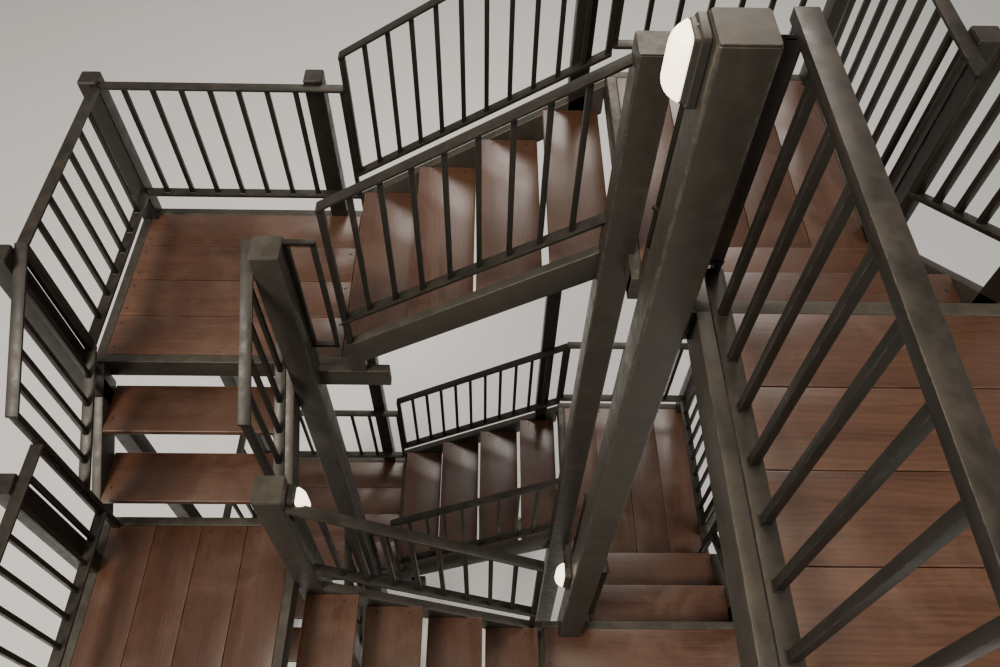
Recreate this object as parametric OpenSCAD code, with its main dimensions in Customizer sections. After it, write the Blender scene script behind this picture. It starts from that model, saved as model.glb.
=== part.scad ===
// Open-well stair of painted steel with timber treads and landings.
// Two full clockwise turns, each of two long and two short straight flights.
// Millimetres, +Z up. The ground is z = 0 and the plan centre is x = y = 0.

/* [Steps] */
// Height of one step (mm)
riser = 190; // [180:1:195]
// Depth of one step of the long flights (mm)
going = 310; // [300:1:320]
// Depth of one step of the short flights (mm)
short_going = 280; // [275:1:290]
// Thickness of a tread plank (mm)
tread_thickness = 34; // [28:1:42]
// Open gap in plan between a tread and the next one (mm)
tread_gap = 16; // [6:1:30]

/* [Landings] */
// Thickness of the landing boards (mm)
deck_thickness = 32; // [25:1:40]
// Depth of the landing edge beams (mm)
beam_depth = 125; // [110:5:140]
// Width of a beam or stringer flange (mm)
flange = 45; // [40:1:50]

/* [Railings] */
// Height of the landing railings above the boards (mm)
rail_height = 890; // [850:5:990]
// Width of the top rail (mm)
rail_width = 52; // [44:1:56]
// Thickness of the flat top rail (mm)
rail_thickness = 12; // [8:1:20]
// Size of a baluster (mm)
baluster = 22; // [16:1:26]
// Thickness of the flat bottom rail (mm)
bottom_rail = 16; // [12:1:24]
// Largest spacing between balusters (mm)
baluster_pitch = 132; // [115:1:150]

/* [Columns] */
// Size of a column beside the open well (mm)
column = 125; // [110:1:130]
// Size of an outer post (mm)
post = 90; // [80:1:100]
// Thickness of a base plate (mm)
plate_thickness = 15; // [10:1:20]
// Diameter of an anchor hole (mm)
anchor_hole = 18; // [14:1:22]

/* [Hidden] */
half_x = 1735;      // outer edge of the landings, left and right
half_y = 1435;      // outer edge of the landings, front and back
a1 = 485;           // inner end of the wide landings
b1 = 395;           // well edge of the wide landings
a2 = 4*going - a1;  // inner end of the narrow landings
b2 = 2*short_going - b1;
top_x = 775;        // well edge of the top landing
top_end = 1685;     // near end of the top landing
rail_x = 1662;      // plane of the side railings
rail_y = 1362;      // plane of the front and back railings
edge_x = rail_x + rail_width/2;   // inner faces of the outer stringers
edge_y = rail_y + rail_width/2;
corner_x = rail_x + 35;
corner_y = rail_y + 33;
post_x = rail_x + rail_width/2 + post/2;   // posts behind the side railings
post_y = rail_y + rail_width/2 + post/2;   // posts behind the back railings
post_mid_x = [650, 608];
post_mid_y = [300, 410];
top_post_x = 822;
col_x = [697, 680]; // far and near columns
col_y = [352, 425];
well_y = [372.5, 465]; // plane of the well stringers of the long flights
short_x = col_x[0] + column/2 + rail_width/2;  // plane of the well railings of the short flights
slope = riser/going;
short_slope = riser/short_going;
string_top = [15, -45];   // well stringers over the nosing line, far and near
outer_top = [-30, -10];   // outer stringers over the nosing line, long and short flights
string_depth = 170;
hi = rail_height + 15;    // sloping top rails over the nosing line
lo = 195;                 // sloping bottom rails over the nosing line
col_plate = 250;
post_plate = 190;
oy = (top_end - (post_y + post_plate/2))/2;
top_level = 32;

steel = [0.20, 0.18, 0.16];
steel2 = [0.26, 0.24, 0.21];
wood = [0.42, 0.22, 0.13];
glow = [0.95, 0.90, 0.78];

// ---------- helpers ----------
module bar(x0, x1, y0, y1, z0, z1) translate([x0, y0, z0]) cube([x1-x0, y1-y0, z1-z0]);
module plate_xz(pts, y0, y1) translate([0, y1, 0]) rotate([90, 0, 0]) linear_extrude(height=y1-y0) polygon(pts);
module plate_yz(pts, x0, x1) translate([x0, 0, 0]) rotate([90, 0, 90]) linear_extrude(height=x1-x0) polygon(pts);
module whole() translate([0, oy, 0]) children();
// half turn h: its wide landing is at 8*h risers, far left when h is odd, near right when even
module half_turn(h) translate([0, 0, 8*riser*h]) rotate([0, 0, h % 2 == 0 ? 180 : 0]) children();
function near(h) = h % 2 == 0 ? 1 : 0;
function zn(x) = riser + (x + a1)*slope;
function zs(y) = riser + (b2 - y)*short_slope;

// ---------- railing panels ----------
// level panel along x, between x0 and x1, in the plane y; top and foot are the tops of its two rails,
// and ends says whether a baluster closes each end
module level_rails(x0, x1, y, z, top, foot, thick) {
    bar(x0, x1, y-rail_width/2, y+rail_width/2, z+top-thick, z+top);
    bar(x0, x1, y-rail_width/2, y+rail_width/2, z+foot-bottom_rail, z+foot);
}
module upright(c, y, z, top, foot, thick) bar(c-baluster/2, c+baluster/2, y-baluster/2, y+baluster/2, z+foot-bottom_rail/2, z+top-thick/2);
module panel_x(x0, x1, y, z, ends, top=rail_height, foot=204, pitch=baluster_pitch, thick=rail_thickness) {
    level_rails(x0, x1, y, z, top, foot, thick);
    a = x0 + ends[0]*baluster/2;
    b = x1 - ends[1]*baluster/2;
    n = max(1, ceil((b-a)/pitch));
    for (i=[1-ends[0]:n-1+ends[1]]) upright(a + (b-a)*i/n, y, z, top, foot, thick);
}
module panel_y(y0, y1, x, z, ends, top=rail_height, foot=204, pitch=baluster_pitch, thick=rail_thickness) rotate([0, 0, 90]) panel_x(y0, y1, -x, z, ends, top, foot, pitch, thick);

// sloping panel of a long flight, along x; up and down are its rails' tops over the nosing line
module slope_bar(x0, x1, y, w, up, t) plate_xz([[x0, zn(x0)+up-t], [x1, zn(x1)+up-t], [x1, zn(x1)+up], [x0, zn(x0)+up]], y-w/2, y+w/2);
module slope_post(x0, x1, y, w, z0, z1) plate_xz([[x0, zn(x0)+z0], [x1, zn(x1)+z0], [x1, zn(x1)+z1], [x0, zn(x0)+z1]], y-w/2, y+w/2);
module slope_panel(x0, x1, y, up, down, foot, last, pitch) {
    w = baluster; e = 28; t = rail_thickness/cos(atan(slope)); tb = bottom_rail/cos(atan(slope));
    slope_bar(x0, x1, y, rail_width, up, t);
    slope_bar(x0, x1, y, rail_width, down, tb);
    b = last ? x1-e/2 : x1;
    n = ceil((b-x0-e/2)/pitch);
    for (i=[1:n-1]) {
        c = x0 + e/2 + (b-x0-e/2)*i/n;
        slope_post(c-w/2, c+w/2, y, w, down-tb/2, up-t/2);
    }
    slope_post(x0, x0+e, y, e+6, foot, up-t/2);
    if (last) slope_post(x1-e, x1, y, e+6, foot, up-t/2);
}
// sloping panel of a short flight, along y from y0 (low end) down to y1 (high end);
// z0 and z1 are the top rail's heights there, gap is from the top rail's top to the bottom rail's
module short_panel(y0, y1, x, z0, z1, gap, foot0, last) {
    w = baluster; e = 28; m = (z1-z0)/(y0-y1); t = rail_thickness/cos(atan(m)); tb = bottom_rail/cos(atan(m));
    function zt(y) = z0 + (y0-y)*m;
    plate_yz([[y1, zt(y1)-t], [y0, zt(y0)-t], [y0, zt(y0)], [y1, zt(y1)]], x-rail_width/2, x+rail_width/2);
    plate_yz([[y1, zt(y1)-gap-tb], [y0, zt(y0)-gap-tb], [y0, zt(y0)-gap], [y1, zt(y1)-gap]], x-rail_width/2, x+rail_width/2);
    n = ceil((y0-y1-e)/(baluster_pitch-8));
    for (i=[1:n-1]) {
        c = y1 + e/2 + (y0-y1-e)*i/n;
        plate_yz([[c-w/2, zt(c)-gap-tb/2], [c+w/2, zt(c)-gap-tb/2], [c+w/2, zt(c+w/2)-t/2], [c-w/2, zt(c-w/2)-t/2]], x-w/2, x+w/2);
    }
    plate_yz([[y0-e, foot0], [y0, foot0], [y0, zt(y0)-t/2], [y0-e, zt(y0-e)-t/2]], x-e/2-3, x+e/2+3);
    if (last) plate_yz([[y1, zt(y1)-gap-tb/2], [y1+e, zt(y1)-gap-tb/2], [y1+e, zt(y1+e)-t/2], [y1, zt(y1)-t/2]], x-e/2-3, x+e/2+3);
}

// ---------- columns and posts ----------
// each: x, y, top
function col_list() = [
    [-col_x[0], col_y[0], 24*riser + rail_height + 10],
    [-col_x[1], -col_y[1], 21*riser + rail_height + 10],
    [col_x[0], col_y[0], 29*riser + rail_height + 10],
    [col_x[1], -col_y[1], 32*riser + rail_height + 10]];
function rail_top(n) = n*riser + rail_height + 18;
function post_list() = [
    [-corner_x, corner_y, rail_top(24)],
    [-post_mid_x[0], post_y, rail_top(24)],
    [-post_x, post_mid_y[0], rail_top(24)],
    [-post_x, -post_mid_y[1], rail_top(21)],
    [-corner_x, -corner_y, rail_top(21)],
    [-post_mid_x[1], -post_y, rail_top(21)],
    [post_mid_x[1], post_y, rail_top(29)],
    [corner_x, corner_y, rail_top(29)],
    [post_x, post_mid_y[1], rail_top(29)],
    [post_x, -post_mid_y[0], rail_top(32)],
    [corner_x, -corner_y, rail_top(32)],
    [top_post_x, -post_y, 32*riser - beam_depth - 8]];
module well_columns() color(steel2) whole() for (c=col_list())
    bar(c[0]-column/2, c[0]+column/2, c[1]-column/2, c[1]+column/2, plate_thickness, c[2]);
module outer_posts() color(steel) whole() for (c=post_list())
    bar(c[0]-post/2, c[0]+post/2, c[1]-post/2, c[1]+post/2, plate_thickness, c[2]);
module base_plate(s, gap) difference() {
    bar(-s/2, s/2, -s/2, s/2, 0, plate_thickness);
    for (x=[-gap/2, gap/2]) for (y=[-gap/2, gap/2])
        translate([x, y, -1]) cylinder(h=plate_thickness+2, d=anchor_hole, $fn=48);
}
module base_plates() color(steel2) whole() {
    for (c=col_list()) translate([c[0], c[1], 0]) base_plate(col_plate, 190);
    for (c=post_list()) translate([c[0], c[1], 0]) base_plate(post_plate, 145);
}
module uprights() {
    for (c=col_list()) bar(c[0]-column/2, c[0]+column/2, c[1]-column/2, c[1]+column/2, -10, c[2]);
    for (c=post_list()) bar(c[0]-post/2, c[0]+post/2, c[1]-post/2, c[1]+post/2, -10, c[2]);
}

// ---------- landings ----------
// rectangles in the unturned position: wide (far left) and narrow (far right)
module frame_box(x0, x1, y0, y1, z, nx, ny, depth=beam_depth) difference() {
    bar(x0, x1, y0, y1, z-depth, z);
    w = (x1-x0-flange)/nx;
    d = (y1-y0-flange)/ny;
    for (i=[0:nx-1]) for (j=[0:ny-1])
        bar(x0+flange+i*w, x0+i*w+w, y0+flange+j*d, y0+j*d+d, z-depth-1, z+1);
    // seat for the boards
    bar(x0+flange, x1-flange, y0+flange, y1-flange, z-deck_thickness, z+1);
}
module deck_box(x0, x1, y0, y1, z) bar(x0+flange, x1-flange, y0+flange, y1-flange, z-deck_thickness, z);
module wide_frame() frame_box(-half_x, -a1, b1, half_y, 0, 3, 2);
module narrow_frame() frame_box(a2-20, half_x, b2, half_y, 0, 2, 3);
module wide_deck() deck_box(-half_x, -a1, b1, half_y, 0);
module narrow_deck() deck_box(a2-20, half_x, b2, half_y, 0);
module top_frame() {
    frame_box(top_x, half_x, -top_end, -b1+12, top_level*riser, 2, 3, beam_depth+8);
    // bracket from the near right column
    bar(col_x[1]+column/2, top_x+1, -b1-33, -b1+12, top_level*riser-beam_depth-8, top_level*riser);
}
module top_deck() deck_box(top_x, half_x, -top_end, -b1+12, top_level*riser);
module clear_uprights() difference() { children(); uprights(); }
module lower_landing_frames() color(steel) whole() clear_uprights() {
    half_turn(0) translate([0, 0, 5*riser]) narrow_frame();
    half_turn(1) wide_frame();
    half_turn(1) translate([0, 0, 5*riser]) narrow_frame();
    half_turn(2) wide_frame();
}
module upper_landing_frames() color(steel) whole() clear_uprights() {
    half_turn(2) translate([0, 0, 5*riser]) narrow_frame();
    half_turn(3) wide_frame();
    half_turn(3) translate([0, 0, 5*riser]) narrow_frame();
    top_frame();
}
module lower_landing_decks() color(wood) whole() clear_uprights() {
    half_turn(0) translate([0, 0, 5*riser]) narrow_deck();
    half_turn(1) wide_deck();
    half_turn(1) translate([0, 0, 5*riser]) narrow_deck();
    half_turn(2) wide_deck();
}
module upper_landing_decks() color(wood) whole() clear_uprights() {
    half_turn(2) translate([0, 0, 5*riser]) narrow_deck();
    half_turn(3) wide_deck();
    half_turn(3) translate([0, 0, 5*riser]) narrow_deck();
    top_deck();
}

// ---------- flights ----------
// long flight of half turn h: rises along +x from the wide landing, unturned
module long_treads(h) for (k=[1:4])
    bar(-a1+(k-1)*going, min(-a1+k*going-tread_gap, a2-20-22), well_y[near(h)]+flange/2, edge_y, k*riser-tread_thickness, k*riser);
module long_stringers(h) {
    n = near(h); yi = well_y[n];
    xe = col_x[n] - column/2; xs = n == 0 ? -a1 + 12 : -a1 - 30;
    zt = string_top[n]; zf = zt - string_depth;
    xf = max(xs + 75, -a1 + (-zf - riser)/slope);
    plate_xz([[xs, 0], [xf, 0], [xf, max(0, zn(xf)+zf)], [xe, zn(xe)+zf], [xe, zn(xe)+zt], [xs, zn(xs)+zt]], yi-flange/2, yi+flange/2);
    // stub beam from the column that carries the foot
    if (n == 0) bar(-col_x[0]+column/2, -290, yi-flange/2, yi+flange/2, -beam_depth, 0);
}
module long_outer_stringer() {
    x0 = -a1 - 30; x1 = a2 - 20; zt = outer_top[0]; zf = zt - string_depth;
    xf = -a1 + (-zf - riser)/slope;
    plate_xz([[x0, 0], [xf, 0], [x1, zn(x1)+zf], [x1, zn(x1)+zt], [x0, zn(x0)+zt]], edge_y, half_y);
}
module long_railings(h) {
    n = near(h); yi = well_y[n];
    slope_panel(-a1+19, col_x[n]-column/2, yi, hi, lo, string_top[n], false, baluster_pitch-4);
    slope_panel(-a1-15, a2-20, rail_y, hi-15, lo-15, lo-15-bottom_rail/2, true, baluster_pitch-16);
    // the lowest outer railing has a small post of its own on the stringer
    if (h == 0) slope_post(-a1-15, -a1+13, edge_y+17, 34, outer_top[0], hi-15);
}
// short flight of half turn h: rises along -y from the narrow landing, unturned
module short_treads(h) for (k=[1:2])
    bar(short_x+flange/2-4, edge_x, b2-k*short_going+tread_gap, b2-(k-1)*short_going, k*riser-tread_thickness, k*riser);
module short_stringer(h, x0, x1, zt) {
    y0 = h == 3 ? -b1+12 : -b1; y1 = b2; zf = zt - string_depth;
    plate_yz([[y1, zs(y1)+zf], [y1, zs(y1)+zt], [y0, zs(y0)+zt], [y0, zs(y0)+zf]], x0, x1);
}
module short_well_stringer(h) short_stringer(h, short_x-rail_width/2, short_x-rail_width/2+flange, -15);
module short_outer_stringer(h) short_stringer(h, edge_x, half_x, outer_top[1]);
module short_railings(h) {
    yt = near(h) == 1 ? -col_y[0]-column/2 : -410;
    short_panel(205, yt, short_x, zs(205)+862, zs(yt)+862, 670, 0, true);
    if (near(h) == 0) bar(col_x[1]+column/2, short_x-rail_width/2, yt, yt+40, zs(yt)+814, zs(yt)+838);
    short_panel(226, -360, rail_x, 1113, 3*riser+rail_height+10, 700, 0, true);
}
module long_flight_treads(h) color(wood) whole() half_turn(h) long_treads(h);
module short_flight_treads(h) color(wood) whole() half_turn(h) translate([0, 0, 5*riser]) short_treads(h);
module long_flight_stringers(h) color(steel2) whole() {
    half_turn(h) long_stringers(h);
    clear_uprights() half_turn(h) long_outer_stringer();
}
module short_flight_stringers(h) color(steel2) whole() {
    half_turn(h) translate([0, 0, 5*riser]) short_well_stringer(h);
    clear_uprights() half_turn(h) translate([0, 0, 5*riser]) short_outer_stringer(h);
}
module long_flight_railings(h) color(steel) whole() half_turn(h) long_railings(h);
module short_flight_railings(h) color(steel) whole() half_turn(h) translate([0, 0, 5*riser]) short_railings(h);

// ---------- landing railings ----------
module wide_railing(h) {
    // back, side and the short piece that closes the corner beside the well column
    if (near(h) == 1) panel_x(-corner_x+post/2, -a1-15, rail_y, 0, [0, 1]);
    else {
        // no balusters in front of the post
        level_rails(-corner_x+post/2, -a1-15, rail_y, 0, rail_height, 204, rail_thickness);
        for (i=[0:6]) upright(-732-134.5*i, rail_y, 0, rail_height, 204, rail_thickness);
        upright(-a1-15-baluster/2, rail_y, 0, rail_height, 204, rail_thickness);
    }
    panel_y(360, corner_y-post/2, -rail_x, 0, [1, 0], pitch=baluster_pitch+13);
    if (near(h) == 0) light_panel(-col_x[0]+column/2, -a1-20, well_y[0]+12, 0);
}
module light_panel(x0, x1, y, z) {
    w = baluster; t = rail_height + 10;
    bar(x0, x1, y-w/2, y+w/2, z+t-w, z+t);
    bar(x0, x1, y-w/2, y+w/2, z+170, z+170+w);
    for (i=[0:1]) bar(x0+i*(x1-x0-w), x0+i*(x1-x0-w)+w, y-w/2, y+w/2, z+170+w/2, z+t-w/2);
}
module narrow_railing(h) {
    panel_x(a2-20, corner_x-post/2, rail_y, 0, [1, 0]);
    panel_y(226, corner_y-post/2, rail_x, 0, [1, 0]);
}
module top_railing() {
    z = top_level*riser;
    panel_y(-top_end, -col_y[1]+42, top_x+25, z, [1, 1], rail_height+26, 139, baluster_pitch+13, 30);
    panel_y(-corner_y+post/2, -360, rail_x, z, [0, 1]);
    panel_y(-top_end, -corner_y-post/2, rail_x, z, [1, 0]);
}
module wide_landing_railing(h) color(steel) whole() half_turn(h) wide_railing(h);
module narrow_landing_railing(h) color(steel) whole() half_turn(h) translate([0, 0, 5*riser]) narrow_railing(h);

// ---------- lamps ----------
function lamp_list() = [
    [col_x[1]-column/2, -400, 32*riser + 800, -1],
    [-col_x[1]+column/2, -415, 21*riser + 750, 1],
    [col_x[1]-column/2, -400, 16*riser + 800, -1],
    [-col_x[1]+column/2, -415, 5*riser + 750, 1]];
module lamp_body() {
    bar(0, 22, -48, 48, -88, 88);
    bar(22, 34, -40, 40, -80, 80);
}
module lamp_cover() difference() {
    hull() { bar(34, 36, -40, 40, -80, 80); bar(34, 74, -26, 26, -64, 64); }
    hull() { bar(33, 35, -36, 36, -76, 76); bar(33, 70, -22, 22, -60, 60); }
}
module lamp_bodies() color(steel2) whole() for (l=lamp_list())
    translate([l[0], l[1], l[2]]) rotate([0, 0, l[3] < 0 ? 180 : 0]) lamp_body();
module lamp_covers() color(glow) whole() for (l=lamp_list())
    translate([l[0], l[1], l[2]]) rotate([0, 0, l[3] < 0 ? 180 : 0]) lamp_cover();

// ---------- named parts ----------
module flight_1_treads() long_flight_treads(0);
module flight_2_treads() short_flight_treads(0);
module flight_3_treads() long_flight_treads(1);
module flight_4_treads() short_flight_treads(1);
module flight_5_treads() long_flight_treads(2);
module flight_6_treads() short_flight_treads(2);
module flight_7_treads() long_flight_treads(3);
module flight_8_treads() short_flight_treads(3);
module flight_1_stringers() long_flight_stringers(0);
module flight_2_stringers() short_flight_stringers(0);
module flight_3_stringers() long_flight_stringers(1);
module flight_4_stringers() short_flight_stringers(1);
module flight_5_stringers() long_flight_stringers(2);
module flight_6_stringers() short_flight_stringers(2);
module flight_7_stringers() long_flight_stringers(3);
module flight_8_stringers() short_flight_stringers(3);
module flight_1_railings() long_flight_railings(0);
module flight_2_railings() short_flight_railings(0);
module flight_3_railings() long_flight_railings(1);
module flight_4_railings() short_flight_railings(1);
module flight_5_railings() long_flight_railings(2);
module flight_6_railings() short_flight_railings(2);
module flight_7_railings() long_flight_railings(3);
module flight_8_railings() short_flight_railings(3);
module landing_1_railings() narrow_landing_railing(0);
module landing_2_railings() wide_landing_railing(1);
module landing_3_railings() narrow_landing_railing(1);
module landing_4_railings() wide_landing_railing(2);
module landing_5_railings() narrow_landing_railing(2);
module landing_6_railings() wide_landing_railing(3);
module landing_7_railings() narrow_landing_railing(3);
module top_landing_railings() color(steel) whole() top_railing();

well_columns();
outer_posts();
base_plates();
lower_landing_frames();
upper_landing_frames();
lower_landing_decks();
upper_landing_decks();
flight_1_treads();
flight_2_treads();
flight_3_treads();
flight_4_treads();
flight_5_treads();
flight_6_treads();
flight_7_treads();
flight_8_treads();
flight_1_stringers();
flight_2_stringers();
flight_3_stringers();
flight_4_stringers();
flight_5_stringers();
flight_6_stringers();
flight_7_stringers();
flight_8_stringers();
flight_1_railings();
flight_2_railings();
flight_3_railings();
flight_4_railings();
flight_5_railings();
flight_6_railings();
flight_7_railings();
flight_8_railings();
landing_1_railings();
landing_2_railings();
landing_3_railings();
landing_4_railings();
landing_5_railings();
landing_6_railings();
landing_7_railings();
top_landing_railings();
lamp_bodies();
lamp_covers();
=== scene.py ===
import bpy
import bmesh
import math
import random
from mathutils import Vector, Matrix


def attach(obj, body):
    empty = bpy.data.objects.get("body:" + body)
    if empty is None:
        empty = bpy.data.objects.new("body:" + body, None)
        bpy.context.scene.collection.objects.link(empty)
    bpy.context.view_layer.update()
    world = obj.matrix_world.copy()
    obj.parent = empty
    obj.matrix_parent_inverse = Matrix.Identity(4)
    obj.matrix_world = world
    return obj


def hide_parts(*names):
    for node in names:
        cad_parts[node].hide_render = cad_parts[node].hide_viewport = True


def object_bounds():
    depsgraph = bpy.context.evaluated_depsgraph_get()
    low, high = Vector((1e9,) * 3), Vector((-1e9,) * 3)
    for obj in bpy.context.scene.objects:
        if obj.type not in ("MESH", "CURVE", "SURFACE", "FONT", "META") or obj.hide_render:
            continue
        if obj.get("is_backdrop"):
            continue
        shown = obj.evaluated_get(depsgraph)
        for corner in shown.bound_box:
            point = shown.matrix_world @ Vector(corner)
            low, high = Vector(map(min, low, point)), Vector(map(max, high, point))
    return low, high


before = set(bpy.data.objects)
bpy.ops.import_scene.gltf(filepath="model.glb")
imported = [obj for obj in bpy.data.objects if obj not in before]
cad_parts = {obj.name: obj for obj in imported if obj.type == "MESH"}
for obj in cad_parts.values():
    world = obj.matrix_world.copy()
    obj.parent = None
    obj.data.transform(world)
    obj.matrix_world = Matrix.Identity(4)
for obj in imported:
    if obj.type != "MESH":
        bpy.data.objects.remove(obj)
CAD_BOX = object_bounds()
rng = random.Random(8163)

# ---------------------------------------------------------------- sizes, in metres, as in the CAD part
RISER, GOING, SHORT = .190, .310, .280
TREAD, GAP = .034, .016
DECK, BEAM, FLANGE = .032, .125, .045
RAIL_H, RAIL_W, RAIL_T = .890, .052, .012
BAL, FOOT_RAIL, PITCH = .022, .016, .132
COL, POST, PLATE = .125, .090, .015
HALF_X, HALF_Y = 1.735, 1.435
A1, B1 = .485, .395
A2 = 4 * GOING - A1
B2 = 2 * SHORT - B1
TOP_X, TOP_END = .775, 1.685
RAIL_X, RAIL_Y = 1.662, 1.362
EDGE_X, EDGE_Y = RAIL_X + RAIL_W / 2, RAIL_Y + RAIL_W / 2
CORNER_X, CORNER_Y = RAIL_X + .035, RAIL_Y + .033
POST_X, POST_Y = RAIL_X + RAIL_W / 2 + POST / 2, RAIL_Y + RAIL_W / 2 + POST / 2
POST_MID_X, POST_MID_Y = (.650, .608), (.300, .410)
TOP_POST_X = .822
COL_X, COL_Y = (.697, .680), (.352, .425)
WELL_Y = (.3725, .465)
SHORT_X = COL_X[0] + COL / 2 + RAIL_W / 2
SLOPE, SHORT_SLOPE = RISER / GOING, RISER / SHORT
STRING_TOP, OUTER_TOP, STRING_D = (.015, -.045), (-.030, -.010), .170
HI, LO = RAIL_H + .015, .195
COL_PLATE, POST_PLATE = .250, .190
OY = .0785
TOP_Z = 32 * RISER


def near(h):
    return 1 if h % 2 == 0 else 0


def zn(x):
    return RISER + (x + A1) * SLOPE


def zs(y):
    return RISER + (B2 - y) * SHORT_SLOPE


# ---------------------------------------------------------------- mesh builder
class Build:
    """Gathers bevelled solids into one mesh. Each solid has its own grain coordinates and a shade."""

    def __init__(self, h=None, dz=0.0):
        self.co, self.faces, self.edge, self.grain, self.shade = [], [], [], [], []
        self.smooth = []
        self.place(h, dz)

    def place(self, h=None, dz=0.0):
        self.turn = h is not None and h % 2 == 0
        self.dz = (8 * RISER * h if h is not None else 0.0) + dz

    def _map(self, v):
        x, y, z = v
        if self.turn:
            x, y = -x, -y
        return (x, y + OY, z + self.dz)

    def solid(self, low, high, bevel=.002, segs=2, along=None, flip=False):
        """Convex prism between two like rings of points. along is the axis index of its grain."""
        bm = bmesh.new()
        a = [bm.verts.new(p) for p in low]
        b = [bm.verts.new(p) for p in high]
        n = len(a)
        bm.faces.new(a[::-1])
        bm.faces.new(b)
        for i in range(n):
            bm.faces.new((a[i], a[(i + 1) % n], b[(i + 1) % n], b[i]))
        bmesh.ops.recalc_face_normals(bm, faces=bm.faces)
        sharp = set()
        if bevel > 0:
            edges = [e for e in bm.edges if len(e.link_faces) == 2 and e.calc_face_angle() > .5]
            r = bmesh.ops.bevel(bm, geom=edges, offset=bevel, segments=segs, profile=.5, affect='EDGES', clamp_overlap=True)
            sharp = set(r['faces'])
        self._take(bm, sharp, along)
        bm.free()

    def _take(self, bm, marked, along):
        bm.verts.index_update()
        base = len(self.co)
        pts = [v.co.copy() for v in bm.verts]
        lo = Vector([min(p[k] for p in pts) for k in range(3)])
        hi = Vector([max(p[k] for p in pts) for k in range(3)])
        mid = (lo + hi) / 2
        size = hi - lo
        if along is None:
            along = max(range(3), key=lambda k: size[k])
        others = [k for k in range(3) if k != along]
        off = (rng.uniform(-20, 20), rng.uniform(-20, 20), rng.uniform(-20, 20))
        s = rng.random()
        for p in pts:
            q = p - mid
            self.co.append(self._map(p))
            self.grain.append((q[along] + off[0], q[others[0]] + off[1], q[others[1]] + off[2]))
            self.shade.append(s)
        for f in bm.faces:
            self.faces.append([base + v.index for v in f.verts])
            self.edge.append(1.0 if f in marked else 0.0)
            self.smooth.append(f in marked)

    # simple shapes
    def bar(self, x0, x1, y0, y1, z0, z1, bevel=.002, segs=2, along=None):
        self.solid([(x0, y0, z0), (x1, y0, z0), (x1, y1, z0), (x0, y1, z0)],
                   [(x0, y0, z1), (x1, y0, z1), (x1, y1, z1), (x0, y1, z1)], bevel, segs, along)

    def xz(self, pts, y0, y1, bevel=.002, segs=2, along=0):
        self.solid([(p[0], y0, p[1]) for p in pts], [(p[0], y1, p[1]) for p in pts], bevel, segs, along)

    def yz(self, pts, x0, x1, bevel=.002, segs=2, along=1):
        self.solid([(x0, p[0], p[1]) for p in pts], [(x1, p[0], p[1]) for p in pts], bevel, segs, along)

    def tube(self, x, y, s, z0, z1, r, n=5):
        """Upright square section with round corners."""
        ring = []
        for cx, cy, a0 in ((1, 1, 0), (-1, 1, 90), (-1, -1, 180), (1, -1, 270)):
            for i in range(n):
                a = math.radians(a0 + 90 * i / (n - 1))
                ring.append((x + cx * (s / 2 - r) + r * math.cos(a), y + cy * (s / 2 - r) + r * math.sin(a)))
        self.ring_prism(ring, z0, z1)

    def ring_prism(self, ring, z0, z1, chamfer=.0015):
        bm = bmesh.new()
        cx = sum(p[0] for p in ring) / len(ring)
        cy = sum(p[1] for p in ring) / len(ring)

        def loop(z, k):
            out = []
            for px, py in ring:
                d = math.hypot(px - cx, py - cy)
                t = (d - k) / d
                out.append(bm.verts.new((cx + (px - cx) * t, cy + (py - cy) * t, z)))
            return out
        rings = [loop(z0, chamfer), loop(z0 + chamfer, 0), loop(z1 - chamfer, 0), loop(z1, chamfer)]
        n = len(ring)
        marked = set()
        bm.faces.new(rings[0][::-1])
        bm.faces.new(rings[3])
        for j in range(3):
            for i in range(n):
                f = bm.faces.new((rings[j][i], rings[j][(i + 1) % n], rings[j + 1][(i + 1) % n], rings[j + 1][i]))
                e = (Vector(rings[j][i].co) - Vector(rings[j][(i + 1) % n].co)).length
                if j != 1 or e < .012:
                    marked.add(f)
        bmesh.ops.recalc_face_normals(bm, faces=bm.faces)
        self._take(bm, marked, 2)
        bm.free()

    def hexagon(self, c, axis, r, t, chamfer=.0012, washer=True):
        """Bolt head on a face: c is on the face and axis is its normal (0, 1 or 2, with a sign)."""
        k, sgn = abs(axis) - 1, 1 if axis > 0 else -1
        u, v = [i for i in range(3) if i != k]

        def ring(n, rad, h, a0=0.0):
            out = []
            for i in range(n):
                a = a0 + 2 * math.pi * i / n
                p = [c[0], c[1], c[2]]
                p[u] += rad * math.cos(a)
                p[v] += rad * math.sin(a)
                p[k] += sgn * h
                out.append(tuple(p))
            return out
        h = 0.0
        if washer:
            self.solid(ring(16, r * 1.35, 0), ring(16, r * 1.35, .0025), 0, 1, k)
            h = .0025
        a0 = rng.uniform(0, 1)
        self.solid(ring(6, r, h, a0), ring(6, r, h + t - chamfer, a0), 0, 1, k)
        self.solid(ring(6, r, h + t - chamfer, a0), ring(6, r * .86, h + t, a0), 0, 1, k)

    def finish(self, name, slot, mat, node=None, smooth=True):
        me = bpy.data.meshes.new(name)
        me.from_pydata(self.co, [], self.faces)
        me.update()
        at = me.attributes.new("grain", 'FLOAT_VECTOR', 'POINT')
        at.data.foreach_set("vector", [c for g in self.grain for c in g])
        at = me.attributes.new("shade", 'FLOAT', 'POINT')
        at.data.foreach_set("value", self.shade)
        at = me.attributes.new("edge", 'FLOAT', 'FACE')
        at.data.foreach_set("value", self.edge)
        me.materials.append(mat)
        if smooth:
            me.polygons.foreach_set("use_smooth", self.smooth)
            me.set_sharp_from_angle(angle=math.radians(32))
        ob = bpy.data.objects.new(name, me)
        bpy.context.scene.collection.objects.link(ob)
        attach(ob, "root")
        if node:
            for n in ([node] if isinstance(node, str) else node):
                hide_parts(n)
        return ob


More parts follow.
